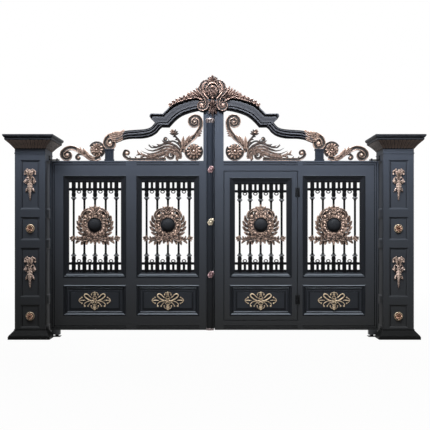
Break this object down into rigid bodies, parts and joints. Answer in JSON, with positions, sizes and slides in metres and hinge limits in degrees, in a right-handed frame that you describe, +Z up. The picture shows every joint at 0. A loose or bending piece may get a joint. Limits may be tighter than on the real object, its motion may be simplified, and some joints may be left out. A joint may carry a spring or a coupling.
{
  "type": "aluminium gate",
  "caption": "Double driveway gate in dark cast aluminium with bronze ornament, an arched pediment, square posts and a wicket door.",
  "frame": {"origin": "centre of the underside of the left post", "axes": "+X to the right post, seen from the street, -Y towards the street, +Z up"},
  "size_m": [5.488, 0.654, 3.499],
  "materials": {
    "anthracite": "satin powder coat",
    "dark_anthracite": "satin powder coat",
    "antique_bronze": "antique bronze paint, rubbed highlights",
    "old_gold": "old gold paint, rubbed highlights",
    "steel": "dark steel"
  },
  "bodies": {
    "posts": {"left_post_shaft": "anthracite", "left_post_panels": "dark_anthracite", "left_post_base": "anthracite", "left_post_cap": "dark_anthracite", "right_post_shaft": "anthracite", "right_post_panels": "dark_anthracite", "right_post_base": "anthracite", "right_post_cap": "dark_anthracite", "post_cap_leaves": "antique_bronze", "post_drops": "old_gold", "post_rosettes": "old_gold", "pivot_brackets": "steel"},
    "left_leaf": {"left_leaf_stiles": "anthracite", "left_leaf_rails": "anthracite", "left_leaf_mouldings": "dark_anthracite", "left_leaf_panels": "dark_anthracite", "left_leaf_grilles": "dark_anthracite", "left_leaf_wreaths": "antique_bronze", "left_leaf_bosses": "dark_anthracite", "left_leaf_cartouches": "old_gold", "left_short_post": "anthracite", "left_arch": "anthracite", "left_arch_volute": "antique_bronze", "left_outer_scroll": "antique_bronze", "left_inner_scroll": "antique_bronze", "left_crown": "antique_bronze", "left_leaf_pivots": "steel", "meeting_column": "anthracite", "column_ornaments": "antique_bronze"},
    "right_leaf": {"right_leaf_stiles": "anthracite", "right_leaf_rails": "anthracite", "right_leaf_moulding": "dark_anthracite", "right_leaf_panel": "dark_anthracite", "right_leaf_grille": "dark_anthracite", "right_leaf_wreath": "antique_bronze", "right_leaf_boss": "dark_anthracite", "right_leaf_cartouche": "old_gold", "right_short_post": "anthracite", "right_arch": "anthracite", "right_arch_volute": "antique_bronze", "right_outer_scroll": "antique_bronze", "right_inner_scroll": "antique_bronze", "right_crown": "antique_bronze", "right_leaf_pivots": "steel", "hinge_pins": "steel"},
    "wicket": {"wicket_stiles": "anthracite", "wicket_rails": "anthracite", "wicket_moulding": "dark_anthracite", "wicket_panel": "dark_anthracite", "wicket_grille": "dark_anthracite", "wicket_wreath": "antique_bronze", "wicket_boss": "dark_anthracite", "wicket_cartouche": "old_gold", "wicket_hinges": "steel"}
  },
  "joints": [
    {"name": "left_leaf_swing", "type": "hinge", "parent": "posts", "child": "left_leaf", "pos_m": [0.302, 0.03, 0.1], "axis": [0, 0, 1], "range_deg": [0, 90]},
    {"name": "right_leaf_swing", "type": "hinge", "parent": "posts", "child": "right_leaf", "pos_m": [4.532, 0.03, 0.1], "axis": [0, 0, -1], "range_deg": [0, 90]},
    {"name": "wicket_swing", "type": "hinge", "parent": "right_leaf", "child": "wicket", "pos_m": [3.533, -0.012, 0.5], "axis": [0, 0, 1], "range_deg": [0, 90]}
  ]
}
